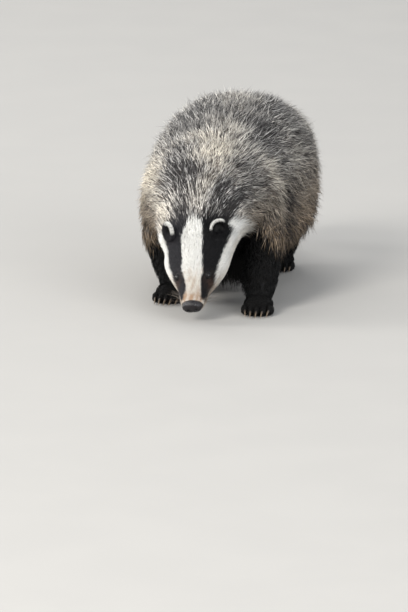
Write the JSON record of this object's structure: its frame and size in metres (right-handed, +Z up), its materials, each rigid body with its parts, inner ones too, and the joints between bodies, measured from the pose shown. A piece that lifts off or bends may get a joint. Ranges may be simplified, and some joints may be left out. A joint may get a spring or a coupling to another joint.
{
  "type": "european badger",
  "caption": "Life-size European badger, a still model walking with its head held low, grey coat, black and white striped face",
  "frame": {"origin": "middle of the footprint of the bounding box, on the floor under the soles", "axes": "the badger faces -Y, its left side is +X and +Z is up"},
  "size_m": [0.2964, 0.7988, 0.3201],
  "materials": {
    "grey_coat": "long grizzled grey fur",
    "face": "short white fur with two black stripes",
    "dark_coat": "black fur",
    "nose": "moist, finely pebbled skin",
    "eye": "wet, glossy"
  },
  "bodies": {
    "root": {"head": "face", "nose": "nose", "eye_left": "eye", "eye_right": "eye", "ear_left": "dark_coat", "ear_right": "dark_coat", "neck": "grey_coat", "torso": "grey_coat", "tail": "grey_coat", "foreleg_left": "dark_coat", "foreleg_right": "dark_coat", "hindleg_left": "dark_coat", "hindleg_right": "dark_coat", "forepaw_left": "dark_coat", "forepaw_right": "dark_coat", "hindpaw_left": "dark_coat", "hindpaw_right": "dark_coat"}
  },
  "joints": []
}
